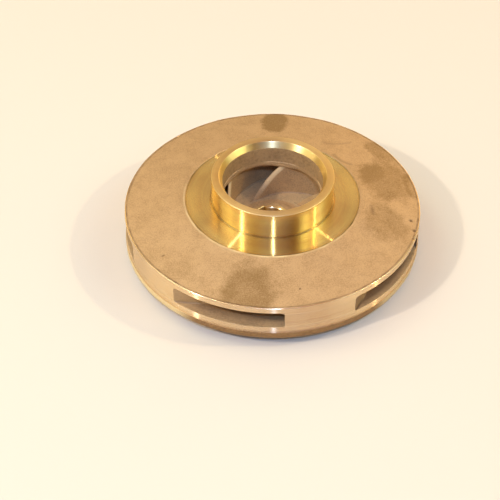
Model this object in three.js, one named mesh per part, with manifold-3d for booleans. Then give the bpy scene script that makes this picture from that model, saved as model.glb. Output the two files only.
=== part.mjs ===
// Closed centrifugal pump impeller, a bronze casting with turned faces, lying on its back with the
// suction eye up. Millimetres, +Z up. The origin is on the shaft axis at the hub's back face.

import * as THREE from 'three';
import { mergeVertices } from 'three/addons/utils/BufferGeometryUtils.js';
import Module from 'manifold-3d';

// Driving dimensions: radii and heights above the hub's back face
const RIM_RADIUS = 59;
const CAST_BAND_RADIUS = 59.2;
const RING_RADIUS = 24.3;
const EYE_RADIUS = 19.8;
const LEAD_IN_RADIUS = 21.2;
const FLAT_RADIUS = 34.7;
const HUB_NOSE_RADIUS = 7.9;
const HUB_FOOT_RADIUS = 14.3;
const HUB_BOSS_RADIUS = 13;
const SHAFT_RADIUS = 6.35;

const RIM_BOTTOM = 4.2;
const BACK_FACE = 6.2;
const BAND_TOP = 7.15;
const FLOOR = 10.2;
const NOSE_TOP = 12.8;
const CEILING_AT_RIM = 17.5;
const RIM_TOP = 20;
const FLAT_HEIGHT = 24.15;
const RING_TOP = 35.35;

// The cast face stands this much proud of the turned flat where they meet
const FLAT_STEP = 0.25;

// The eye wall turns outward into the ceiling of the passages on this radius
const THROAT_RADIUS = 2.4;
const THROAT_TOP = 24.8;

// Turned edges
const LEAD_IN_DEPTH = 2.6;
const EDGE_CHAMFER = 0.3;

// Dished back: the rim stands lower than the back face on this ring
const DISH_INNER = 50.5;
const DISH_OUTER = 53.5;

// Keyway in the shaft hole
const KEY_WIDTH = 3.2;
const KEY_DEPTH = 1.4;
const KEY_AZIMUTH = THREE.MathUtils.degToRad(125);

// Vanes: the azimuth in degrees of each side of the first vane, as a polynomial in u, where u is 0 at
// the eye radius and 1 at the rim on a logarithmic scale of radius
const VANE_COUNT = 5;
const HOLLOW_SIDE = [71.5, -157.4, 0];
const ROUND_SIDE = [82, -171.7, 31.5];
const VANE_STEPS = 22;
const VANE_GAP = 0.3;
const EDGE_AT_FLOOR = 14.7;
const EDGE_MIDDLE = new THREE.Vector2(18.3, 17.8);

// Fineness: facets round the axis, and round the shaft hole
const FACETS = 96;
const HOLE_FACETS = 36;
const THROAT_STEPS = 4;

const wasm = await Module();
wasm.setup();

const point = (radius, height) => new THREE.Vector2(radius, height);

// A solid of revolution about Z from a closed profile whose outer side runs upward
function revolve(profile) {
  const geometry = new THREE.LatheGeometry([...profile, profile[0]], FACETS);
  return geometry.rotateX(Math.PI / 2);
}

function toManifold(geometry) {
  const bare = new THREE.BufferGeometry();
  bare.setAttribute('position', geometry.getAttribute('position'));
  bare.setIndex(geometry.getIndex());
  const merged = mergeVertices(bare, 1e-4);
  const corners = merged.getIndex().array;
  const used = [];
  for (let i = 0; i < corners.length; i += 3) {
    const [a, b, c] = [corners[i], corners[i + 1], corners[i + 2]];
    if (a !== b && b !== c && c !== a) {
      used.push(a, b, c);
    }
  }
  return new wasm.Manifold(new wasm.Mesh({
    numProp: 3,
    vertProperties: new Float32Array(merged.getAttribute('position').array),
    triVerts: new Uint32Array(used),
  }));
}

function toGeometry(solid) {
  const mesh = solid.getMesh();
  const geometry = new THREE.BufferGeometry();
  geometry.setAttribute('position', new THREE.BufferAttribute(new Float32Array(mesh.vertProperties), 3));
  geometry.setIndex(new THREE.BufferAttribute(new Uint32Array(mesh.triVerts), 1));
  geometry.computeVertexNormals();
  return geometry;
}

// The shaft hole with its keyway, as a plug that is cut out of the hub
function keyedHole() {
  const halfKey = Math.asin(KEY_WIDTH / 2 / SHAFT_RADIUS);
  const shape = new THREE.Shape();
  shape.absarc(0, 0, SHAFT_RADIUS, KEY_AZIMUTH + halfKey, KEY_AZIMUTH - halfKey + 2 * Math.PI, false);
  for (const side of [-1, 1]) {
    const along = SHAFT_RADIUS + KEY_DEPTH;
    const corner = new THREE.Vector2(along, side * KEY_WIDTH / 2);
    corner.rotateAround(new THREE.Vector2(), KEY_AZIMUTH);
    shape.lineTo(corner.x, corner.y);
  }
  const margin = 2;
  const geometry = new THREE.ExtrudeGeometry(shape, {
    depth: NOSE_TOP + 2 * margin,
    bevelEnabled: false,
    curveSegments: HOLE_FACETS,
  });
  return toManifold(geometry.translate(0, 0, -margin));
}

// The height of the passages' ceiling, which falls in a straight line from the throat to the rim
function ceiling(radius) {
  const throatEnd = EYE_RADIUS + THROAT_RADIUS;
  const throatHeight = THROAT_TOP - THROAT_RADIUS;
  const share = (radius - throatEnd) / (RIM_RADIUS - throatEnd);
  return THREE.MathUtils.lerp(throatHeight, CEILING_AT_RIM, share);
}

// The radius of the eye wall's rounded lower corner at an angle below its start
function throat(angle) {
  return point(
    EYE_RADIUS + THROAT_RADIUS * (1 - Math.cos(angle)),
    THROAT_TOP - THROAT_RADIUS * Math.sin(angle),
  );
}
const SPLIT_ANGLE = Math.asin((THROAT_TOP - FLAT_HEIGHT) / THROAT_RADIUS);

function eyeRing() {
  const split = throat(SPLIT_ANGLE);
  return revolve([
    point(split.x, FLAT_HEIGHT),
    point(RING_RADIUS, FLAT_HEIGHT),
    point(RING_RADIUS, RING_TOP - EDGE_CHAMFER),
    point(RING_RADIUS - EDGE_CHAMFER, RING_TOP),
    point(LEAD_IN_RADIUS, RING_TOP),
    point(EYE_RADIUS, RING_TOP - LEAD_IN_DEPTH),
    point(EYE_RADIUS, THROAT_TOP),
  ]);
}

function frontShroud() {
  const corner = [];
  for (let i = 0; i <= THROAT_STEPS; i += 1) {
    corner.push(throat(THREE.MathUtils.lerp(SPLIT_ANGLE, Math.PI / 2, i / THROAT_STEPS)));
  }
  corner[0].y = FLAT_HEIGHT;
  return revolve([
    ...corner,
    point(RIM_RADIUS, CEILING_AT_RIM),
    point(RIM_RADIUS, RIM_TOP),
    point(FLAT_RADIUS + FLAT_STEP, FLAT_HEIGHT + FLAT_STEP),
    point(FLAT_RADIUS, FLAT_HEIGHT),
  ]);
}

function backShroud() {
  const corner = CAST_BAND_RADIUS - RIM_RADIUS + 0.8;
  return toGeometry(toManifold(revolve([
    point(0, BACK_FACE),
    point(DISH_INNER, BACK_FACE),
    point(DISH_OUTER, RIM_BOTTOM),
    point(CAST_BAND_RADIUS - corner, RIM_BOTTOM),
    point(CAST_BAND_RADIUS - corner * 0.3, RIM_BOTTOM + corner * 0.3),
    point(CAST_BAND_RADIUS, RIM_BOTTOM + corner),
    point(RIM_RADIUS, BAND_TOP),
    point(RIM_RADIUS, FLOOR),
    point(0, FLOOR),
  ])).subtract(keyedHole()));
}

function hubNose() {
  return toGeometry(toManifold(revolve([
    point(0, FLOOR),
    point(HUB_FOOT_RADIUS, FLOOR),
    point(12.5, FLOOR + 0.6),
    point(10.6, FLOOR + 1.6),
    point(9.2, FLOOR + 2.25),
    point(HUB_NOSE_RADIUS, NOSE_TOP),
    point(0, NOSE_TOP),
  ])).subtract(keyedHole()));
}

function hubBoss() {
  return toGeometry(toManifold(revolve([
    point(0, 0),
    point(HUB_BOSS_RADIUS - EDGE_CHAMFER, 0),
    point(HUB_BOSS_RADIUS, EDGE_CHAMFER),
    point(HUB_BOSS_RADIUS, BACK_FACE),
    point(0, BACK_FACE),
  ])).subtract(keyedHole()));
}

// One side of a vane in plan, from a radius inside the hub's foot to one past the rim
function vaneSide([start, slope, curve]) {
  const inner = EDGE_AT_FLOOR - 1;
  const outer = RIM_RADIUS + 1;
  const points = [];
  for (let i = 0; i <= VANE_STEPS; i += 1) {
    const radius = inner * (outer / inner) ** (i / VANE_STEPS);
    const u = Math.log(radius / EYE_RADIUS) / Math.log(RIM_RADIUS / EYE_RADIUS);
    const azimuth = THREE.MathUtils.degToRad(start + slope * u + curve * u * u);
    points.push(point(radius * Math.cos(azimuth), radius * Math.sin(azimuth)));
  }
  return points;
}

// The space that the vanes fill part of, between the floor, the ceiling, the rim and a slanting inner
// side that cuts the leading edges
function vaneSpace() {
  const top = radius => ceiling(radius) - VANE_GAP;
  const innerTop = EYE_RADIUS + THROAT_RADIUS;
  return toManifold(revolve([
    point(EDGE_AT_FLOOR, FLOOR),
    point(RIM_RADIUS, FLOOR),
    point(RIM_RADIUS, top(RIM_RADIUS)),
    point(innerTop, top(innerTop)),
    point(EYE_RADIUS + 0.4, THROAT_TOP - THROAT_RADIUS),
    EDGE_MIDDLE,
  ]));
}

function vane(index, space) {
  const outline = [...vaneSide(HOLLOW_SIDE), ...vaneSide(ROUND_SIDE).reverse()];
  const geometry = new THREE.ExtrudeGeometry(new THREE.Shape(outline), {
    depth: FLAT_HEIGHT - FLOOR + 1,
    bevelEnabled: false,
  });
  geometry.translate(0, 0, FLOOR);
  geometry.rotateZ(index * 2 * Math.PI / VANE_COUNT);
  return toGeometry(toManifold(geometry).intersect(space));
}

const turnedBrass = new THREE.MeshStandardMaterial({ color: '#d9b264', roughness: 0.28, metalness: 1 });
const castFace = new THREE.MeshStandardMaterial({ color: '#b4915f', roughness: 0.6, metalness: 0.8 });
const castPassage = new THREE.MeshStandardMaterial({ color: '#8a6f50', roughness: 0.7, metalness: 0.7 });

const impeller = new THREE.Group();

function add(name, geometry, material) {
  const mesh = new THREE.Mesh(geometry, material);
  mesh.name = name;
  impeller.add(mesh);
}

add('eye_ring', eyeRing(), turnedBrass);
add('front_shroud', frontShroud(), castFace);
add('back_shroud', backShroud(), castFace);
add('hub_nose', hubNose(), castPassage);
add('hub_boss', hubBoss(), turnedBrass);

const space = vaneSpace();
for (let index = 0; index < VANE_COUNT; index += 1) {
  add(`vane_${index + 1}`, vane(index, space), castPassage);
}

export default impeller;
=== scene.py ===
import math

import bpy
import numpy as np
from mathutils import Matrix, Vector


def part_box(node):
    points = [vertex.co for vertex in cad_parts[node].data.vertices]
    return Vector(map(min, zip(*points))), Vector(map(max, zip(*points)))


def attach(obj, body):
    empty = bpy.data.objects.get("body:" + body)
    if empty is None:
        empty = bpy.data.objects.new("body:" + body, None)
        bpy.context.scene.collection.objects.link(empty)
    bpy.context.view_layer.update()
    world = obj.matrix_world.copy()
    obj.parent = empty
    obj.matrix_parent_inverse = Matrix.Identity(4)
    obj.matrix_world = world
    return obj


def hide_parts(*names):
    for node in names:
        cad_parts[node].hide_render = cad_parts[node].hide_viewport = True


# A closed impeller of a small centrifugal pump: one bronze casting with turned faces, lying on its
# back with the suction eye up. Lengths are in millimetres on the CAD frame, +Z up from the hub's back
# face, but the room's are in metres. Each member's own section makes its fine surface and finish.
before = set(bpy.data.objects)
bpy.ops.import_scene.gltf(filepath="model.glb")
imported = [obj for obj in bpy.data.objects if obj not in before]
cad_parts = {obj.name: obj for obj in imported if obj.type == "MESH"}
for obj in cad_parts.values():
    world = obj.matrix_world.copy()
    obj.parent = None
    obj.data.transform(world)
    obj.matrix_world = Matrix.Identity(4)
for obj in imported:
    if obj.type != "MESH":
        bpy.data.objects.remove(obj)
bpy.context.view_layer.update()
MM = 0.001


# The viewpoint looks down at the part from its front, with a long lens about 60 cm away. The numbers
# were fitted to the ellipses of the rim, the turned flat and the eye ring. The lens isn't shifted.
EYE_PLACE = Vector((-8.9, -452.0, 415.5))
EYE_PITCH = math.radians(42.93)
EYE_ROLL = math.radians(0.14)
FOCAL_LENGTH = 108.0
SENSOR_WIDTH = 36.0

lens = bpy.data.cameras.new("viewpoint")
lens.lens = FOCAL_LENGTH
lens.sensor_width = SENSOR_WIDTH
viewpoint = bpy.data.objects.new("viewpoint", lens)
bpy.context.scene.collection.objects.link(viewpoint)
forward = Vector((0, math.cos(EYE_PITCH), -math.sin(EYE_PITCH)))
level = Vector((1, 0, 0))
upward = level.cross(forward)
rightward = math.cos(EYE_ROLL) * level + math.sin(EYE_ROLL) * upward
turn = Matrix((rightward, rightward.cross(forward), -forward)).transposed()
viewpoint.matrix_world = Matrix.Translation(EYE_PLACE * MM) @ turn.to_4x4()
bpy.context.scene.camera = viewpoint
bpy.context.scene.view_settings.view_transform = "Standard"


# The eye ring stands up from the front shroud, part of the same bronze casting. It is turned bright
# outside, on its top land and on its lead-in, and bored inside. The boring tool stopped short of the
# vanes, so the cast skin stands proud of the eye wall there, in a low ledge.
RING_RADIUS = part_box("eye_ring")[1].y / MM
RING_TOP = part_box("eye_ring")[1].z / MM
FLAT_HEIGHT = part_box("eye_ring")[0].z / MM
EYE_RADIUS = 19.8
LEAD_IN_RADIUS = 21.2
LEAD_IN_DEPTH = 2.6
THROAT_RADIUS = 2.4
THROAT_TOP = 24.8
BORE_END = 25.9
LEDGE = 0.24
LEDGE_RISE = 0.16
VANE_COUNT = 5
LEDGE_MIDDLE = math.radians(79)
LEDGE_HALF = math.radians(23)
# Brown for painted shade on turned faces, dark for dirt and painted shade on cast skin, and pale for
# cast skin that is rubbed and for painted light on it
SHADE_BROWN = "#5c401f"
DIRT_AND_SHADE = "#5c3f26"
RUBBED_AND_LIT = "#fbe4ac"


def smoothstep(low, high, x):
    """0 below low, 1 above high, and 3t^2 - 2t^3 between, with t the share of the way."""
    t = np.clip((x - low) / (high - low), 0, 1)
    return t * t * (3 - 2 * t)


def linear(code):
    """A colour given as sRGB hex, such as #d9b264, as linear red, green, blue and alpha."""
    part = np.array([int(code[i : i + 2], 16) / 255 for i in (1, 3, 5)])
    curve = np.where(part <= 0.04045, part / 12.92, ((part + 0.055) / 1.055) ** 2.4)
    return (*curve, 1.0)


def add(material, kind, inputs=None, **settings):
    """Adds one node: settings are its own options, inputs its sockets' constants or links."""
    tree = material.node_tree
    node = tree.nodes.new(kind)
    for name, value in settings.items():
        setattr(node, name, value)
    for key, value in (inputs or {}).items():
        if isinstance(value, bpy.types.NodeSocket):
            tree.links.new(value, node.inputs[key])
        else:
            node.inputs[key].default_value = value
    return node


def new_material(name):
    """An empty node material and its output node."""
    material = bpy.data.materials.new(name)
    material.use_nodes = True
    material.node_tree.nodes.clear()
    return material, add(material, "ShaderNodeOutputMaterial")


def turned_bronze(name, bright, brown, roughness, drawn, feed, groove, tarnish_size, flanks=0.0):
    """Bronze cut on a lathe: the tool's feed leaves fine rings round the axis, so glints are drawn
    out across the rings, and thin tarnish browns it in soft patches and in bands of about eight
    rings. The rings follow radius + height, so one pattern suits the flats, the cylinders and the
    lead-in. flanks is the share of light that the rings' steep sides throw back: it turns a small
    lamp into a thin bright line that runs across the rings. Where a piece is marked with painted
    shade it is brown and duller. Lengths are in mm."""
    material, output = new_material(name)
    place = add(material, "ShaderNodeTexCoord").outputs["Object"]
    across = add(material, "ShaderNodeVectorMath", {0: place, 1: (1, 1, 0)}, operation="MULTIPLY")
    radius = add(material, "ShaderNodeVectorMath", {0: across.outputs[0]}, operation="LENGTH")
    height = add(material, "ShaderNodeSeparateXYZ", {0: place})
    travel = add(material, "ShaderNodeMath", {0: radius.outputs["Value"], 1: height.outputs["Z"]})
    rings = add(material, "ShaderNodeTexNoise", {"W": travel.outputs[0], "Scale": 1 / (feed * MM),
                "Detail": 3.0, "Roughness": 0.6}, noise_dimensions="1D")
    bands = add(material, "ShaderNodeTexNoise", {"W": travel.outputs[0], "Scale": 0.12 / (feed * MM),
                "Detail": 2.0}, noise_dimensions="1D")
    cloud = add(material, "ShaderNodeTexNoise", {"Vector": place, "Scale": 1 / (tarnish_size * MM),
                "Detail": 4.0, "Roughness": 0.55})
    summed = add(material, "ShaderNodeMath", {0: bands.outputs[0], 1: cloud.outputs[0]})
    shade = add(material, "ShaderNodeMapRange", {"Value": summed.outputs[0], "From Min": 0.85,
                "From Max": 1.35, "To Min": 0.0, "To Max": 1.0})
    colour = add(material, "ShaderNodeMix", {0: shade.outputs[0], 6: linear(bright),
                 7: linear(brown)}, data_type="RGBA")
    # The mark read here is painted shade: it browns and dulls the turned bronze in creases
    painted_shade = add(material, "ShaderNodeAttribute", attribute_name="painted_shade")
    colour = add(material, "ShaderNodeMix", {0: painted_shade.outputs["Fac"], 6: colour.outputs[2],
                 7: linear(SHADE_BROWN)}, data_type="RGBA")
    rough = add(material, "ShaderNodeMapRange", {"Value": summed.outputs[0], "From Min": 0.7,
                "From Max": 1.4, "To Min": roughness - 0.03, "To Max": roughness + 0.05})
    rough = add(material, "ShaderNodeMath", {0: painted_shade.outputs["Fac"], 1: 0.3, 2: rough.outputs[0]},
                operation="MULTIPLY_ADD")
    bump = add(material, "ShaderNodeBump", {"Height": rings.outputs[0], "Strength": 1.0,
               "Distance": groove * MM})
    around = add(material, "ShaderNodeVectorMath", {0: (0, 0, 1), 1: place},
                 operation="CROSS_PRODUCT")
    shader = add(material, "ShaderNodeBsdfPrincipled", {"Base Color": colour.outputs[2],
                 "Metallic": 1.0, "Roughness": rough.outputs[0], "Normal": bump.outputs[0],
                 "Anisotropic": drawn, "Anisotropic Rotation": 0.25, "Tangent": around.outputs[0]})
    if flanks:
        steep = add(material, "ShaderNodeBsdfAnisotropic", {"Color": colour.outputs[2],
                    "Roughness": 0.28, "Anisotropy": 0.89, "Tangent": around.outputs[0]})
        shader = add(material, "ShaderNodeMixShader", {0: flanks, 1: shader.outputs[0],
                     2: steep.outputs[0]})
    material.node_tree.links.new(shader.outputs[0], output.inputs["Surface"])
    return material


def sand_cast_bronze(name, light, dark, roughness, metallic, grain, grain_depth, stains=()):
    """Bronze as it left a sand mould: the skin took the print of the sand grains and a thin film of
    oxide, so it is dull and tan, mottled over a few millimetres, with darker stains. The grain is
    drawn coarser than its real 0.3 mm so that it shows at all. Each stain is an ellipse with a soft,
    ragged edge. A mark for wear and painted light makes the skin pale, and a mark for dirt and
    painted shade makes it dark. Lengths are in mm."""
    material, output = new_material(name)
    place = add(material, "ShaderNodeTexCoord").outputs["Object"]
    sand = add(material, "ShaderNodeTexNoise", {"Vector": place, "Scale": 1 / (grain * MM),
               "Detail": 3.0, "Roughness": 0.65})
    mottle = add(material, "ShaderNodeTexNoise", {"Vector": place, "Scale": 1 / (7 * MM),
                 "Detail": 6.0, "Roughness": 0.7})
    shade = add(material, "ShaderNodeMapRange", {"Value": mottle.outputs[0], "From Min": 0.36,
                "From Max": 0.68, "To Min": 0.0, "To Max": 0.4})
    total = shade.outputs[0]
    if stains:
        ragged = add(material, "ShaderNodeTexNoise", {"Vector": place, "Scale": 1 / (6 * MM),
                     "Detail": 4.0, "Roughness": 0.6})
        edge = add(material, "ShaderNodeMapRange", {"Value": ragged.outputs[0], "From Min": 0.3,
                   "From Max": 0.7, "To Min": -0.2, "To Max": 0.2})
    for x, y, half_x, half_y, turned, darkness in stains:
        spot = add(material, "ShaderNodeMapping", {"Vector": place,
                   "Location": (x * MM, y * MM, 0), "Rotation": (0, 0, math.radians(turned)),
                   "Scale": (half_x * MM, half_y * MM, 1)}, vector_type="TEXTURE")
        away = add(material, "ShaderNodeVectorMath", {0: spot.outputs[0], 1: (1, 1, 0)},
                   operation="MULTIPLY")
        away = add(material, "ShaderNodeVectorMath", {0: away.outputs[0]}, operation="LENGTH")
        away = add(material, "ShaderNodeMath", {0: away.outputs["Value"], 1: edge.outputs[0]})
        fade = add(material, "ShaderNodeMapRange", {"Value": away.outputs[0], "From Min": 0.66,
                   "From Max": 1.18, "To Min": darkness, "To Max": 0.0},
                   interpolation_type="SMOOTHSTEP")
        total = add(material, "ShaderNodeMath", {0: total, 1: fade.outputs[0]},
                    operation="ADD", use_clamp=True).outputs[0]
    speck = add(material, "ShaderNodeMath", {0: sand.outputs[0], 1: 0.5}, operation="SUBTRACT")
    total = add(material, "ShaderNodeMath", {0: speck.outputs[0], 1: 2.0, 2: total},
                operation="MULTIPLY_ADD", use_clamp=True)
    colour = add(material, "ShaderNodeMix", {0: total.outputs[0], 6: linear(light),
                 7: linear(dark)}, data_type="RGBA")
    # Pale for rubbed skin and for painted light, dark for dirt and for painted shade
    wear_and_light = add(material, "ShaderNodeAttribute", attribute_name="wear_and_light")
    colour = add(material, "ShaderNodeMix", {0: wear_and_light.outputs["Fac"], 6: colour.outputs[2],
                 7: linear(RUBBED_AND_LIT)}, data_type="RGBA")
    dirt_and_painted_shade = add(material, "ShaderNodeAttribute", attribute_name="dirt_and_painted_shade")
    colour = add(material, "ShaderNodeMix", {0: dirt_and_painted_shade.outputs["Fac"], 6: colour.outputs[2],
                 7: linear(DIRT_AND_SHADE)}, data_type="RGBA")
    height = add(material, "ShaderNodeMath", {0: mottle.outputs[0], 1: 2.0, 2: sand.outputs[0]},
                 operation="MULTIPLY_ADD")
    bump = add(material, "ShaderNodeBump", {"Height": height.outputs[0], "Strength": 1.0,
               "Distance": grain_depth * MM})
    shader = add(material, "ShaderNodeBsdfPrincipled", {"Base Color": colour.outputs[2],
                 "Metallic": metallic, "Roughness": roughness, "Normal": bump.outputs[0]})
    material.node_tree.links.new(shader.outputs[0], output.inputs["Surface"])
    return material


def outline(corners, steps):
    """A closed outline through corners (radius, height, rounding, finish), run anticlockwise with the
    metal on its left. Each corner gives way to the parabola (1-s)^2 A + 2s(1-s) B + s^2 C between
    the points A and C that lie its rounding away on both sides, and each straight is cut into equal
    steps, about steps[finish] long. Returns the points and the finish of the step that starts at
    each."""
    points = []
    finish = []
    count = len(corners)
    for k in range(count):
        before, here, after = (np.array(corners[(k + d) % count][:2], float) for d in (-1, 0, 1))
        rounding, kind = corners[k][2:]
        back = here - before
        ahead = after - here
        start = here - back / np.hypot(*back) * rounding
        leave = here + ahead / np.hypot(*ahead) * rounding
        if rounding > 0:
            s = np.linspace(0, 1, 5)[:-1, None]
            points.append((1 - s) ** 2 * start + 2 * s * (1 - s) * here + s**2 * leave)
            finish += [kind] * len(s)
        arrive = after - ahead / np.hypot(*ahead) * corners[(k + 1) % count][2]
        pieces = max(1, math.ceil(np.hypot(*(arrive - leave)) / steps[kind]))
        t = np.linspace(0, 1, pieces + 1)[:-1, None]
        points.append(leave + t * (arrive - leave))
        finish += [kind] * pieces
    return np.concatenate(points), np.array(finish)


def lay_grid(name, points, finish, materials, capped=False, smooth_below=35):
    """A closed mesh from rows of points that each run round a ring. The last row joins the first, or,
    where capped, both are closed by quads from each column k across to column count - 1 - k. finish
    says which material each quad between rows takes, and edges sharper than smooth_below degrees
    stay crisp."""
    rows, columns = points.shape[:2]
    j, i = np.meshgrid(np.arange(rows - capped), np.arange(columns), indexing="ij")
    j2 = (j + 1) % rows
    i2 = (i + 1) % columns
    quads = np.stack([j * columns + i, j * columns + i2, j2 * columns + i2, j2 * columns + i], -1)
    quads = quads.reshape(-1, 4)
    kind = np.broadcast_to(finish, j.shape).ravel()
    if capped:
        k = np.arange(columns // 2 - 1)
        cap = np.stack([k, columns - 1 - k, columns - 2 - k, k + 1], -1)
        quads = np.concatenate([quads, cap, cap[:, ::-1] + (rows - 1) * columns])
        kind = np.concatenate([kind, np.zeros(2 * len(cap))])
    mesh = bpy.data.meshes.new(name)
    mesh.vertices.add(rows * columns)
    mesh.vertices.foreach_set("co", (points * MM).astype(np.float32).ravel())
    mesh.loops.add(quads.size)
    mesh.loops.foreach_set("vertex_index", quads.astype(np.int32).ravel())
    mesh.polygons.add(len(quads))
    mesh.polygons.foreach_set("loop_start", np.arange(0, quads.size, 4, dtype=np.int32))
    mesh.polygons.foreach_set("material_index", kind.astype(np.int32))
    mesh.polygons.foreach_set("use_smooth", np.ones(len(quads), bool))
    for material in materials:
        mesh.materials.append(material)
    mesh.update(calc_edges=True)
    mesh.validate()
    mesh.set_sharp_from_angle(angle=math.radians(smooth_below))
    piece = bpy.data.objects.new(name, mesh)
    bpy.context.scene.collection.objects.link(piece)
    return piece


def revolve(name, corners, steps, angle, materials, shape=None):
    """The outline carried round the Z axis: x = r cos a, y = r sin a. The finishes in corners count
    through steps and materials. shape(radius, height, angle) may move the points first."""
    points, finish = outline(corners, steps)
    radius, a = np.meshgrid(points[:, 0], angle, indexing="ij")
    height = np.repeat(points[:, 1:], len(angle), axis=1)
    if shape:
        radius, height = shape(radius, height, a)
    grid = np.stack([radius * np.cos(a), radius * np.sin(a), height], -1)
    return lay_grid(name, grid, finish[:, None], materials)


def mark(piece, name, values):
    """Stores a number from 0 to 1 at every point of the piece, for its material to read."""
    store = piece.data.attributes.new(name, "FLOAT", "POINT")
    store.data.foreach_set("value", values.astype(np.float32).ravel())


def places(piece):
    """Radius, height and angle of every point of the piece, in mm and radians."""
    spots = np.zeros(len(piece.data.vertices) * 3, np.float32)
    piece.data.vertices.foreach_get("co", spots)
    x, y, z = spots.reshape(-1, 3).T / MM
    return np.hypot(x, y), z, np.arctan2(y, x)


def seat(piece, node):
    """The piece rides with the casting and stands for its CAD node."""
    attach(piece, "root")
    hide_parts(node)


def full_turn(segments):
    """Equal angles all the way round."""
    return np.linspace(0, 2 * math.pi, segments, endpoint=False)


def ledge_at(angle):
    """1 near the top of each vane, falling off smoothly to 0 on both sides of it."""
    pitch = 2 * math.pi / VANE_COUNT
    off = np.abs((angle - LEDGE_MIDDLE + pitch / 2) % pitch - pitch / 2)
    return 1 - smoothstep(0.55 * LEDGE_HALF, LEDGE_HALF, off)


def eye_wall(radius, height, angle):
    """The eye wall drawn in by LEDGE below BORE_END near each vane: r - ledge * step(height)."""
    low = 1 - smoothstep(BORE_END - LEDGE_RISE, BORE_END, height)
    inner = radius < EYE_RADIUS + 0.2
    drawn = LEDGE * ledge_at(angle) * low
    return np.where(inner, radius - drawn, radius), height


# The ring is cut with a fine feed and shines. Its top is faced more coarsely, so it is silky, and the
# lead-in lies between the two. The bore has browned in the water until it is as dull as cast skin.
ring_bronze = turned_bronze("turned_bronze", bright="#f3d48c", brown="#e4bc7e", roughness=0.16,
                            drawn=0.95, feed=0.3, groove=0.0015, tarnish_size=14, flanks=0.24)
faced_bronze = turned_bronze("faced_bronze", bright="#e9c88c", brown="#cfa872", roughness=0.48,
                             drawn=0.6, feed=0.4, groove=0.01, tarnish_size=12)
lead_in_bronze = turned_bronze("turned_bronze_lead_in", bright="#ffe09c", brown="#f0ca88",
                               roughness=0.34, drawn=0.9, feed=0.4, groove=0.003, tarnish_size=9)
bored_bronze = sand_cast_bronze("bored_bronze", light="#b99869", dark="#876b45", roughness=0.5,
                                metallic=0.3, grain=1.2, grain_depth=0.03)
passage_skin = sand_cast_bronze("sand_cast_bronze_passage", light="#c39f6c", dark="#866947",
                                roughness=0.6, metallic=0.2, grain=0.5, grain_depth=0.06)
TURNED, FACED, BORED, SKIN, LEAD_IN = range(5)
split_fall = THROAT_TOP - FLAT_HEIGHT
split_radius = EYE_RADIUS + THROAT_RADIUS - math.sqrt(THROAT_RADIUS**2 - split_fall**2)
ring = revolve("turned_eye_ring", [
    (RING_RADIUS, FLAT_HEIGHT, 0, TURNED),
    (RING_RADIUS, RING_TOP, 0.32, FACED),
    (LEAD_IN_RADIUS, RING_TOP, 0.15, LEAD_IN),
    (EYE_RADIUS, RING_TOP - LEAD_IN_DEPTH, 0.15, BORED),
    (EYE_RADIUS, BORE_END, 0, SKIN),
    (EYE_RADIUS, BORE_END - LEDGE_RISE, 0, SKIN),
    (EYE_RADIUS, THROAT_TOP, 0, SKIN),
    (split_radius, FLAT_HEIGHT, 0, SKIN),
], steps=(0.5, 0.5, 0.5, 0.3, 0.5), angle=full_turn(720),
    materials=[ring_bronze, faced_bronze, bored_bronze, passage_skin, lead_in_bronze],
    shape=eye_wall)
# Painted shade darkens the foot of the ring, outside, in the corner where it meets the flat
radius, height, angle = places(ring)
foot = smoothstep(0.55, 0.15, height - FLAT_HEIGHT) * (radius > RING_RADIUS - 0.1)
mark(ring, "painted_shade", 0.5 * foot)
seat(ring, "eye_ring")


# The front shroud is the cast bronze disc that closes the vanes on the suction side. Its face keeps
# the sandy skin of the mould, with a turned flat round the ring and a turned land on the rim, and its
# underside is the ceiling of the water passages.
RIM_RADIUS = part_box("front_shroud")[1].y / MM
CEILING_AT_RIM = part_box("front_shroud")[0].z / MM
RIM_TOP = 20.0
FLAT_RADIUS = 34.7
FLAT_STEP = 0.25
FACE_START = FLAT_RADIUS + FLAT_STEP + 0.45
FACE_RISE = 0.07
BORDER_WANDER = 0.08
SCRATCH_DEPTH = 0.05
# The turning tool left a low burr on the rim's edge, with a fine groove inside it, and a relief
# round the foot of the ring
BURR_WIDTH = 0.35
BURR_TOP = RIM_TOP + 0.1
GROOVE_BOTTOM = RIM_TOP + 0.09
RELIEF_WIDTH = 0.45
RELIEF_DEPTH = 0.08
# Stains on the face: middle x and y, half-widths, turn in degrees, darkness
STAINS = [
    (-9.9, -54, 11.4, 17.0, -8, 0.62),
    (1.5, 51, 6.0, 8.5, 0, 0.85),
    (39.5, 17, 6.5, 8.5, -20, 0.22),
    (46, 12.5, 11.0, 13.5, 0, 0.55),
    (56, 11, 2.6, 8.0, 12, 0.35),
    (45, 33, 8.5, 5.0, -42, 0.5),
    (44.5, -14, 8.5, 11.0, 10, 0.42),
    (-37, -39.5, 6.5, 5.0, 0, 0.2),
]
# Casting pits in the face: x, y, half-width, depth and darkness
PITS = [
    (54.6, -10.3, 0.75, 0.12, 0.9),
    (55.6, -15.7, 0.85, 0.15, 0.9),
    (55.0, -20.4, 0.7, 0.2, 1.0),
    (-42.3, -31.4, 0.5, 0.2, 0.8),
    (9.9, -49.7, 0.4, 0.2, 0.8),
]
# Scratches in the face: darkness, then the start, the bend and the end of the line
SCRATCHES = [
    (0.2, (21.4, 36.1), (25.5, 33.6), (32.8, 37.6)),
    (0.32, (25.5, 26.4), (28.6, 21.2), (32.3, 20.7)),
    (0.35, (39.0, -4.8), (39.6, -7.0), (39.5, -9.3)),
]


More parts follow.
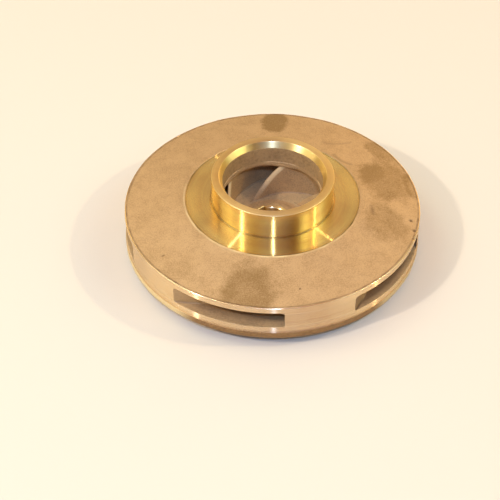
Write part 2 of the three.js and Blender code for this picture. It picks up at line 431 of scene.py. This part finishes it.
def waviness(seed, around, across, count=16):
    """Returns f(angle, s), the sum of count cosines of m * angle + q * s + phase over sqrt(count), m
    whole numbers up to around and q up to across per mm: smooth, closed and about 1 high."""
    draw = np.random.default_rng(seed)
    m = draw.integers(2, around, count)
    q = draw.uniform(-across, across, count)
    phase = draw.uniform(0, 2 * math.pi, count)

    def height(angle, s):
        total = np.zeros(np.broadcast(angle, s).shape)
        for k in range(count):
            total += np.cos(m[k] * angle + q[k] * s + phase[k])
        return total / math.sqrt(count)

    return height


def bent_line(points, x, y):
    """Distance from (x, y) to the curve (1-t)^2 A + 2t(1-t) B + t^2 C, looked up at 24 values of t."""
    a, b, c = (np.array(p, float) for p in points)
    nearest = np.full(x.shape, np.inf)
    for t in np.linspace(0, 1, 24):
        spot = (1 - t) ** 2 * a + 2 * t * (1 - t) * b + t**2 * c
        nearest = np.minimum(nearest, np.hypot(x - spot[0], y - spot[1]))
    return nearest


def scars(x, y):
    """How dark each point of the face is with a pit or a scratch, 0 to 1, and how deep in mm."""
    dirty = np.zeros(x.shape)
    depth = np.zeros(x.shape)
    for px, py, half, deep, dark in PITS:
        inside = 1 - smoothstep(0.4 * half, 1.3 * half, np.hypot(x - px, y - py))
        dirty = np.maximum(dirty, dark * inside)
        depth = np.maximum(depth, deep * inside)
    for dark, *line in SCRATCHES:
        inside = 1 - smoothstep(0.1, 1.2, bent_line(line, x, y))
        dirty = np.maximum(dirty, dark * inside)
        depth = np.maximum(depth, SCRATCH_DEPTH * inside)
    return dirty, depth


face_wave = waviness(seed=11, around=26, across=0.5)
border_wave = waviness(seed=12, around=40, across=0)


def front_form(radius, height, angle):
    """The cast face rises and falls by FACE_RISE * waves and dips in the scars, the flat's border
    runs in and out by BORDER_WANDER * waves, and the throat carries the eye wall's ledge down to
    the ceiling."""
    face = smoothstep(FACE_START, FACE_START + 1.6, radius)
    face = face * smoothstep(RIM_TOP - 1.1, RIM_TOP - 0.3, height)
    depth = scars(radius * np.cos(angle), radius * np.sin(angle))[1]
    rise = FACE_RISE * face_wave(angle, radius) - depth
    border = smoothstep(0.6, 0.0, np.abs(radius - FLAT_RADIUS - 0.2)) * (height > FLAT_HEIGHT - 0.01)
    throat = (radius < EYE_RADIUS + THROAT_RADIUS) & (height < FLAT_HEIGHT + 0.01)
    drop = smoothstep(THROAT_TOP - THROAT_RADIUS, FLAT_HEIGHT, height)
    drawn = np.where(throat, LEDGE * ledge_at(angle) * drop, 0)
    return radius + BORDER_WANDER * border * border_wave(angle, 0) - drawn, height + face * rise


# The face is handled and stays paler than the passages. The rim's lands are cut to size in one pass,
# so they are the palest, with rings deep enough to blur what they mirror up and down.
cast_face = sand_cast_bronze("sand_cast_bronze_face", light="#cba677", dark="#987648",
                             roughness=0.55, metallic=0.55, grain=0.45, grain_depth=0.05,
                             stains=STAINS)
rim_bronze = turned_bronze("turned_bronze_rim", bright="#f6d8ad", brown="#e4bd91", roughness=0.2,
                           drawn=1.0, feed=0.15, groove=0.12, tarnish_size=20, flanks=0.23)
TURNED, CAST, PASSAGE, RIM = range(4)
throat_corners = [(split_radius, FLAT_HEIGHT, 0, PASSAGE)]
for share in np.linspace(0, 1, 9)[1:]:
    fall = split_fall + share * (THROAT_RADIUS - split_fall)
    out = math.sqrt(THROAT_RADIUS**2 - fall**2)
    throat_corners.append((EYE_RADIUS + THROAT_RADIUS - out, THROAT_TOP - fall, 0, PASSAGE))
shroud = revolve("cast_front_shroud", [
    *throat_corners,
    (RIM_RADIUS, CEILING_AT_RIM, 0.12, RIM),
    (RIM_RADIUS, RIM_TOP, 0.14, RIM),
    (RIM_RADIUS - BURR_WIDTH, BURR_TOP, 0, CAST),
    (RIM_RADIUS - 2 * BURR_WIDTH, GROOVE_BOTTOM, 0, CAST),
    (FLAT_RADIUS + FLAT_STEP + BURR_WIDTH, FLAT_HEIGHT + FLAT_STEP - 0.06, 0, CAST),
    (FLAT_RADIUS + FLAT_STEP, FLAT_HEIGHT + FLAT_STEP, 0.12, CAST),
    (FLAT_RADIUS, FLAT_HEIGHT, 0.05, TURNED),
    (RING_RADIUS + RELIEF_WIDTH, FLAT_HEIGHT, 0, TURNED),
    (RING_RADIUS + RELIEF_WIDTH / 2, FLAT_HEIGHT - RELIEF_DEPTH, 0.1, TURNED),
    (RING_RADIUS, FLAT_HEIGHT, 0, TURNED),
], steps=(0.6, 0.6, 2.0, 0.5), angle=full_turn(780),
    materials=[ring_bronze, cast_face, passage_skin, rim_bronze], shape=front_form)
# Painted shade darkens the groove inside the rim's burr, the foot of the ring and the border of the
# flat, the pits and scratches are dark with dirt, and a painted highlight makes the cast edge that
# stands proud of the flat pale on the near side.
radius, height, angle = places(shroud)
on_face = height > RIM_TOP - 0.2
# Painted shade in the groove inside the rim's burr, added to the real pits and scratches
groove_shade = smoothstep(0.5, 0.1, np.abs(radius - RIM_RADIUS + 2 * BURR_WIDTH))
groove_shade *= 0.45 + 0.2 * border_wave(3 * angle, 0)
dirt_and_painted_shade = np.maximum(scars(radius * np.cos(angle), radius * np.sin(angle))[0], groove_shade)
mark(shroud, "dirt_and_painted_shade", np.clip(dirt_and_painted_shade, 0, 1) * on_face)
# Painted shade at the foot of the ring and along the border of the flat
foot = smoothstep(RELIEF_WIDTH + 0.2, RELIEF_WIDTH - 0.1, radius - RING_RADIUS)
border = smoothstep(0.55, 0.25, np.abs(radius - FLAT_RADIUS + 0.1)) * (height < FLAT_HEIGHT + 0.12)
patchy = 0.75 + 0.2 * border_wave(angle, 0)
mark(shroud, "painted_shade", patchy * (0.4 * foot + 0.7 * border) * (height > FLAT_HEIGHT - 0.3))
# Painted highlight on the cast edge by the flat, on the near side only
painted_light = smoothstep(0.4, 0.2, np.abs(radius - FLAT_RADIUS - 0.5)) * (height > FLAT_HEIGHT)
nearest = smoothstep(-0.2, 0.8, np.cos(angle + math.radians(112)))
mark(shroud, "wear_and_light", 0.65 * painted_light * nearest * (0.7 + 0.3 * border_wave(angle + 1, 0)))
seat(shroud, "front_shroud")


# The back shroud is the bronze disc that closes the vanes at the back, with the floor of the passages
# on top. Its rim has the lower turned land, and under that the casting's own edge stays dull and
# stands a little proud. The back is dished, with a keyed hole for the shaft in the middle.
CAST_BAND_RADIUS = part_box("back_shroud")[1].y / MM
RIM_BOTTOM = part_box("back_shroud")[0].z / MM
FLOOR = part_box("back_shroud")[1].z / MM
BACK_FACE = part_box("hub_boss")[1].z / MM
BAND_TOP = 7.15
DISH_INNER = 50.5
DISH_OUTER = 53.5
SHAFT_RADIUS = 6.35
KEY_WIDTH = 3.2
KEY_DEPTH = 1.4
KEY_AZIMUTH = math.radians(125)
BORE_CHAMFER = 0.3
SQUEEZED_OUT_TO = 10.0
CAST_WAVE = 0.05


def bore(angle):
    """The shaft hole's radius at an angle: the round hole, or in the keyway the nearer of its bottom
    (a flat, d / cos) and its side (half the width / sin). Past 1.2 radians the hole is round, so
    the angle stops there, short of cos = 0."""
    off = np.abs((angle - KEY_AZIMUTH + math.pi) % (2 * math.pi) - math.pi)
    off = np.minimum(off, 1.2)
    side = KEY_WIDTH / 2 / np.maximum(np.sin(off), 1e-6)
    bottom = (SHAFT_RADIUS + KEY_DEPTH) / np.cos(off)
    return np.maximum(SHAFT_RADIUS, np.minimum(bottom, side))


def keyed_turn(segments):
    """Equal angles, and finer ones across the keyway's corners."""
    key = KEY_AZIMUTH + np.linspace(-0.3, 0.3, 61)
    return np.unique(np.concatenate([full_turn(segments), key]).round(6))


def squeeze(radius, angle, outer):
    """Radii from the shaft hole out to outer, squeezed where the keyway cuts deeper."""
    hole = bore(angle)
    share = (outer - radius) / (outer - SHAFT_RADIUS)
    return np.where(radius < outer, outer - share * (outer - hole), radius)


floor_wave = waviness(seed=21, around=18, across=0.4)
band_wave = waviness(seed=22, around=34, across=1.5)


def back_form(radius, height, angle):
    """The passage floor and the cast edge wave by CAST_WAVE, and the hole has its keyway."""
    floor = smoothstep(FLOOR - 0.02, FLOOR, height)
    floor = floor * smoothstep(15, 18, radius) * smoothstep(58.6, 56, radius)
    edge = smoothstep(BAND_TOP - 0.1, BAND_TOP - 0.5, height) * smoothstep(57, 58.5, radius)
    radius = radius - CAST_WAVE * edge * (1 + band_wave(angle, height))
    height = height + CAST_WAVE * floor * floor_wave(angle, radius)
    return squeeze(radius, angle, SQUEEZED_OUT_TO), height


# The casting's own edge under the land is painted the darkest skin, as painted shade, and painted
# light makes it pale all round but at the front, which lies in shade. The passage floor is painted
# paler near the hub, as painted light, and darker out under the front shroud's lip, as painted
# shade, most at the outlet on the front right.
shaded_edge_skin = sand_cast_bronze("sand_cast_bronze_edge_shaded", light="#9d784c", dark="#684c30",
                             roughness=0.5, metallic=0.6, grain=0.8, grain_depth=0.07)
TURNED, CAST, PASSAGE, RIM = range(4)
back = revolve("cast_back_shroud", [
    (SHAFT_RADIUS, BACK_FACE, 0, CAST),
    (DISH_INNER, BACK_FACE, 0.8, CAST),
    (DISH_OUTER, RIM_BOTTOM, 0.5, CAST),
    (CAST_BAND_RADIUS, RIM_BOTTOM, 0.9, CAST),
    (CAST_BAND_RADIUS, BAND_TOP, 0.08, CAST),
    (RIM_RADIUS, BAND_TOP, 0, RIM),
    (RIM_RADIUS, FLOOR, 0.12, PASSAGE),
    (SHAFT_RADIUS, FLOOR, 0, TURNED),
], steps=(0.8, 1.2, 1.2, 0.5), angle=keyed_turn(720),
    materials=[ring_bronze, shaded_edge_skin, passage_skin, rim_bronze], shape=back_form)
radius, height, angle = places(back)
on_floor = height > FLOOR - 0.2
# Painted light on the cast edge: pale where the lamps at the left and the sides fall on it, and not at
# the front
from_front = np.degrees(np.arccos(np.cos(angle - math.radians(-85))))
painted_light = smoothstep(34, 45, from_front) * (0.67 - 0.18 * np.cos(angle))
painted_light *= smoothstep(BAND_TOP + 0.1, BAND_TOP - 0.1, height) * (radius > DISH_OUTER)
# The floor near the hub is painted paler as well, as painted light
mark(back, "wear_and_light", 0.12 * smoothstep(34, 20, radius) * on_floor + painted_light)
# Painted shade on the passage floor under the front shroud's lip, darkest at the outlet on the front
# right
darkest = smoothstep(0.6, 0.85, np.cos(angle - math.radians(-28)))
shade_edge = 57.0 + 1.6 * darkest
passage_shade = smoothstep(shade_edge, shade_edge - 2.5, radius) * smoothstep(26, 40, radius) * on_floor
mark(back, "dirt_and_painted_shade", (0.38 + 0.34 * darkest) * passage_shade)
seat(back, "back_shroud")


# The hub shows inside the eye as a low dome of cast bronze round the shaft hole, with a narrow ring
# turned bright on its nose where the nut bears. On the back it ends in a short turned boss.
NOSE_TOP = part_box("hub_nose")[1].z / MM
NOSE_RADIUS = 7.7
HUB_FOOT_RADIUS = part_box("hub_nose")[1].y / MM
BOSS_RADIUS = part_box("hub_boss")[1].y / MM
# The dome's height at some radii, with straight lines between
DOME_RADII = (0, NOSE_RADIUS, 8.1, 9.2, 10.6, 12.5, HUB_FOOT_RADIUS)
DOME_HEIGHTS = (NOSE_TOP, NOSE_TOP, 12.68, 12.35, 11.75, 10.75, FLOOR)


def nose_form(radius, height, angle):
    """The top follows the dome's height at the radius that is left once the keyway is cut, less a
    small chamfer round the hole."""
    top = height > FLOOR + 0.001
    radius = squeeze(radius, angle, HUB_FOOT_RADIUS)
    chamfer = np.maximum(0, BORE_CHAMFER - (radius - bore(angle)))
    dome = np.interp(radius, DOME_RADII, DOME_HEIGHTS) - chamfer
    wave = 0.04 * floor_wave(angle, radius) * smoothstep(8.2, 9.5, radius)
    foot = smoothstep(HUB_FOOT_RADIUS, HUB_FOOT_RADIUS - 1, radius)
    return radius, np.where(top, dome + wave * foot, height)


# The hub's skin is painted paler than the passages, as painted light falling on it from above in the
# eye
lit_hub_skin = sand_cast_bronze("sand_cast_bronze_hub_lit", light="#dcb680", dark="#a88455", roughness=0.5,
                            metallic=0.3, grain=0.8, grain_depth=0.05)
nose = revolve("cast_hub_nose", [
    (SHAFT_RADIUS, FLOOR, 0, CAST),
    (HUB_FOOT_RADIUS, FLOOR, 0, CAST),
    (HUB_FOOT_RADIUS - 0.01, FLOOR + 0.01, 0, CAST),
    (NOSE_RADIUS, NOSE_TOP, 0, TURNED),
    (SHAFT_RADIUS + BORE_CHAMFER, NOSE_TOP, 0, TURNED),
    (SHAFT_RADIUS, NOSE_TOP, 0, TURNED),
], steps=(0.3, 0.3), angle=keyed_turn(540), materials=[lead_in_bronze, lit_hub_skin], shape=nose_form)
seat(nose, "hub_nose")


def boss_form(radius, height, angle):
    """The boss has the same keyed hole."""
    return squeeze(radius, angle, SQUEEZED_OUT_TO), height


boss = revolve("turned_hub_boss", [
    (SHAFT_RADIUS, 0, 0.2, TURNED),
    (BOSS_RADIUS, 0, 0.3, TURNED),
    (BOSS_RADIUS, BACK_FACE, 0, TURNED),
    (SHAFT_RADIUS, BACK_FACE, 0, TURNED),
], steps=(1.0,), angle=keyed_turn(360), materials=[ring_bronze], shape=boss_form)
seat(boss, "hub_boss")


# Five backward-curved vanes of cast bronze stand between the shrouds. They are thin at the eye, where
# their rounded leading edges slant outward and flare into the throat, and thicken to broad tips
# turned flush with the rim. Fillets join them to floor and ceiling.
HOLLOW_SIDE = np.radians([71.5, -157.4, 0])
ROUND_SIDE = np.radians([82, -171.7, 31.5])
EDGE_LINE = (15.2, 3.7, 1.0)
NOSE_SHARE = 0.032
NOSE_OFFSET = 0.7
SIDE_WAVE = 0.05
FLOOR_FILLET = 0.7
CEILING_FILLET = 1.0
# The fillet at the throat, and how much wider it is on the round side than halfway between the sides
THROAT_FILLET = (1.4, 0.1)
# The share of the way out, w, in which what the throat adds to the fillet falls to 1/e
THROAT_REACH = 0.18
# How far the leading edge moves inward for each millimetre of fillet
EDGE_FLARE = 0.37
# The vanes' ends are let into the floor and the ceiling by this much
SINK = 0.05
LOG_SPAN = math.log(RIM_RADIUS / EYE_RADIUS)
SIDE_COLUMNS = 150
TIP_COLUMNS = 6
ROWS = 44
# The power that draws the columns on the sides closer together towards the leading edge
CROWDING = 1.7
# The round side meets the rim at about 30 degrees, which has to stay a crisp edge
SMOOTH_BELOW = 26
# Vane by vane, how far the leading edge is scoured pale and painted lit, and how dark the round side
# is painted at the outlet, as painted shade
SCOURED_AND_LIT = (0.34, 0.4, 0.2, 0.2, 0.05)
OUTLET_SHADE = (0.6, 0, 0, 0, 0.12)


def ceiling(radius):
    """The underside of the front shroud: a straight fall to the rim, or the throat's arc."""
    start = EYE_RADIUS + THROAT_RADIUS
    fall = (radius - start) / (RIM_RADIUS - start)
    slope = THROAT_TOP - THROAT_RADIUS + fall * (CEILING_AT_RIM - THROAT_TOP + THROAT_RADIUS)
    reach = np.clip(start - radius, 0, THROAT_RADIUS)
    arc = THROAT_TOP - np.sqrt(THROAT_RADIUS**2 - reach**2)
    return np.where(radius < start, arc, slope)


def azimuth(side, radius):
    """A side's azimuth a + b u + c u^2, with u = ln(r / eye radius) / ln(rim radius / eye radius)."""
    u = np.log(radius / EYE_RADIUS) / LOG_SPAN
    return side[0] + side[1] * u + side[2] * u * u


def fillet(height, size):
    """How far a fillet of that radius stands out from the wall at a height over the corner."""
    left = np.clip(size - height, 0, size)
    return size - np.sqrt(size**2 - left**2)


def vane_surface(turned, seed):
    """The vane as a grid. Across it, w runs out along the hollow side (0 at the leading edge, 1 at
    the rim), along the tip and back on the round side, with r = e * (rim / e)^w from the leading
    edge's radius e(v) = a + b v + c v^2. Up it, v runs from floor to ceiling. Half the thickness is
    half the angle between the sides plus the fillets, times an ellipse at the nose, which lies
    NOSE_OFFSET of it towards the hollow side. The fillet at the ceiling grows towards the throat.
    Returned with the grid, from 0 to 1: which quads are the tip, how far the nose is scoured and
    painted lit, the painted shade over the floor's fillet and out along the round side, and the end of
    the round side, which is painted in shade at the outlet."""
    v = 0.5 - 0.5 * np.cos(np.linspace(0, math.pi, ROWS))[:, None]
    out = np.linspace(0.001, 1, SIDE_COLUMNS) ** CROWDING
    w = np.concatenate([out, np.ones(TIP_COLUMNS), out[::-1]])[None, :]
    side = np.concatenate([np.full(SIDE_COLUMNS, -1.0), np.linspace(-0.7, 0.7, TIP_COLUMNS),
                           np.full(SIDE_COLUMNS, 1.0)])[None, :]
    edge = EDGE_LINE[0] + EDGE_LINE[1] * v + EDGE_LINE[2] * v * v
    throat_size = THROAT_FILLET[0] + THROAT_FILLET[1] * side
    top_size = CEILING_FILLET + (throat_size - CEILING_FILLET) * np.exp(-w / THROAT_REACH)
    guess = edge * (RIM_RADIUS / edge) ** w
    over_floor = v * (ceiling(guess) - FLOOR)
    under_ceiling = (1 - v) * (ceiling(guess) - FLOOR)
    flare = fillet(over_floor, FLOOR_FILLET) + fillet(under_ceiling, top_size)
    edge = edge - EDGE_FLARE * flare[:, :1]
    radius = edge * (RIM_RADIUS / edge) ** w
    height = FLOOR - SINK + v * (ceiling(radius) - FLOOR + 2 * SINK)
    hollow = azimuth(HOLLOW_SIDE, radius)
    rounded = azimuth(ROUND_SIDE, radius)
    u = np.log(radius / EYE_RADIUS) / LOG_SPAN
    lean = (HOLLOW_SIDE[1] + ROUND_SIDE[1] + 2 * ROUND_SIDE[2] * u) / 2 / LOG_SPAN
    wave = waviness(seed, around=9, across=0.35)(w * 4 + side, height)
    wave = wave * SIDE_WAVE * smoothstep(0.03, 0.2, w)
    half = (rounded - hollow) / 2 + (flare + wave) * np.sqrt(1 + lean**2) / radius
    nose = np.sqrt(1 - (1 - np.clip(w / NOSE_SHARE, 0, 1)) ** 2)
    a = (rounded + hollow) / 2 + (side * nose - NOSE_OFFSET * (1 - nose)) * half + turned
    grid = np.stack([radius * np.cos(a), radius * np.sin(a), height], -1)
    tip = (w == 1) & (np.roll(w, -1) == 1)
    # The nose is scoured pale, and painted lighter where it faces the light
    scoured_and_lit = smoothstep(0.009, 0.004, w) * smoothstep(0.1, 0.4, v) * smoothstep(0.96, 0.84, v)
    # Painted shade in the corner over the floor's fillet, and out along the round side
    passage_shade = smoothstep(1.3 * FLOOR_FILLET, 0.2, over_floor)
    passage_shade = passage_shade + 0.2 * smoothstep(0.35, 0.6, w) * (side > 0)
    # Painted shade at the outlet end of the round side
    outlet_shade = smoothstep(0.93, 0.985, w) * (side == 1)
    return grid, tip, scoured_and_lit, passage_shade, outlet_shade


for index in range(VANE_COUNT):
    turned = index * 2 * math.pi / VANE_COUNT
    grid, tip, scoured_and_lit, passage_shade, outlet_shade = vane_surface(turned, seed=31 + index)
    vane = lay_grid(f"cast_vane_{index + 1}", grid, tip, [passage_skin, rim_bronze], capped=True,
                    smooth_below=SMOOTH_BELOW)
    # The marks paint the scoured noses lighter, and the corners and the outlets in shade
    mark(vane, "wear_and_light", SCOURED_AND_LIT[index] * scoured_and_lit)
    mark(vane, "dirt_and_painted_shade", 0.3 * passage_shade + OUTLET_SHADE[index] * outlet_shade)
    seat(vane, f"vane_{index + 1}")


# A plain pale floor carries the part in a warm room. A window and a wide low lamp stand at the left,
# wide warm lamps behind and at the right, and three small lamps, at the left, at the right and by
# the viewer, give the thin glints that the turned faces show.
floor_paint, floor_output = new_material("pale_matt_board")
floor_shader = add(floor_paint, "ShaderNodeBsdfPrincipled", {"Base Color": linear("#dcd1bd"),
                   "Roughness": 0.75})
floor_paint.node_tree.links.new(floor_shader.outputs[0], floor_output.inputs["Surface"])
FLOOR_HALF = 2.5
board = bpy.data.meshes.new("floor")
board.from_pydata([(-FLOOR_HALF, -FLOOR_HALF, 0), (FLOOR_HALF, -FLOOR_HALF, 0),
                   (FLOOR_HALF, FLOOR_HALF, 0), (-FLOOR_HALF, FLOOR_HALF, 0)], [], [(0, 1, 2, 3)])
board.materials.append(floor_paint)
board_piece = bpy.data.objects.new("floor", board)
bpy.context.scene.collection.objects.link(board_piece)


def soft_lamp(name, bearing, elevation, distance, size, colour, watts):
    """A square soft lamp aimed at the part. Its direction seen from the part is in degrees, its
    distance and size in metres."""
    lamp = bpy.data.lights.new(name, "AREA")
    lamp.size = size
    lamp.color = linear(colour)[:3]
    lamp.energy = watts
    piece = bpy.data.objects.new(name, lamp)
    bpy.context.scene.collection.objects.link(piece)
    a = math.radians(bearing)
    e = math.radians(elevation)
    away = Vector((math.cos(a) * math.cos(e), math.sin(a) * math.cos(e), math.sin(e)))
    piece.location = away * distance
    piece.rotation_euler = away.to_track_quat("Z", "Y").to_euler()


soft_lamp("lamp_left", -149.5, 43, 1.1, 0.05, "#fff2e4", 4.8)
soft_lamp("window_left", 164, 60, 1.6, 0.75, "#e1f9e7", 4.8)
soft_lamp("low_lamp_left", -170, 14, 1.6, 0.9, "#ffe6b4", 2.0)
soft_lamp("lamp_back_left", 135, 30, 1.6, 0.7, "#fff0a0", 2.2)
soft_lamp("lamp_back_right", 60, 20, 1.6, 0.8, "#ffd698", 3.9)
soft_lamp("lamp_right", -12, 20, 1.6, 0.7, "#ffb060", 1.3)
soft_lamp("small_lamp_right", -4, 43, 1.1, 0.038, "#ffe4b4", 2.8)
soft_lamp("lamp_by_eye", -88.4, 50, 1.2, 0.03, "#a2c2ff", 5.8)

# The room's walls all round, by the azimuth in degrees at which the part sees them, as linear red,
# green and blue. The high tones are windows and lit doorways, which the ring and the flat mirror.
WALLS = [
    (-180, (0.95, 0.92, 1.0)), (-165, (0.96, 1.04, 1.1)), (-153, (1.05, 1.1, 1.15)),
    (-149, (3.2, 4.4, 9.0)), (-145, (0.98, 1.05, 1.15)), (-140, (0.9, 1.0, 1.1)),
    (-122, (0.64, 0.66, 0.8)), (-100, (0.60, 0.78, 1.6)), (-80, (0.55, 0.65, 1.2)),
    (-66, (0.31, 0.38, 0.85)), (-50, (0.19, 0.16, 0.2)), (-40, (0.34, 0.28, 0.24)),
    (-24, (2.3, 2.9, 3.0)), (-14, (0.84, 0.84, 0.7)), (6, (1.8, 2.6, 3.4)),
    (20, (0.92, 0.92, 0.8)), (40, (0.82, 0.72, 0.42)), (70, (0.64, 0.50, 0.36)),
    (150, (0.63, 0.51, 0.38)), (180, (0.95, 0.92, 1.0)),
]
room = bpy.data.worlds.new("warm_room")
bpy.context.scene.world = room
room.use_nodes = True
room.node_tree.nodes.clear()
direction = add(room, "ShaderNodeTexCoord").outputs["Generated"]
axes = add(room, "ShaderNodeSeparateXYZ", {0: direction})
around = add(room, "ShaderNodeMath", {0: axes.outputs["Y"], 1: axes.outputs["X"]},
             operation="ARCTAN2")
share = add(room, "ShaderNodeMapRange", {"Value": around.outputs[0], "From Min": -math.pi,
            "From Max": math.pi, "To Min": 0.0, "To Max": 1.0})
walls = add(room, "ShaderNodeValToRGB", {0: share.outputs[0]})
stops = walls.color_ramp.elements
while len(stops) < len(WALLS):
    stops.new(0.5)
for stop, (bearing, light) in zip(stops, WALLS):
    stop.position = (bearing + 180) / 360
    stop.color = (*light, 1)
# The walls give way to the ceiling overhead, and are darker and browner low down
overhead = add(room, "ShaderNodeMapRange", {"Value": axes.outputs["Z"], "From Min": 0.8,
               "From Max": 0.95, "To Min": 0.0, "To Max": 1.0}, interpolation_type="SMOOTHSTEP")
tone = add(room, "ShaderNodeMix", {0: overhead.outputs[0], 6: walls.outputs[0],
           7: linear("#ce9c6c")}, data_type="RGBA")
low = add(room, "ShaderNodeMapRange", {"Value": axes.outputs["Z"], "From Min": 0.36,
          "From Max": 0.6, "To Min": 1.0, "To Max": 0.0}, interpolation_type="SMOOTHSTEP")
tone = add(room, "ShaderNodeMix", {0: low.outputs[0], 6: tone.outputs[2],
           7: (0.66, 0.56, 0.25, 1)}, data_type="RGBA", blend_type="MULTIPLY")
glow = add(room, "ShaderNodeBackground", {"Color": tone.outputs[2], "Strength": 1.0})
room_output = add(room, "ShaderNodeOutputWorld")
room.node_tree.links.new(glow.outputs[0], room_output.inputs["Surface"])
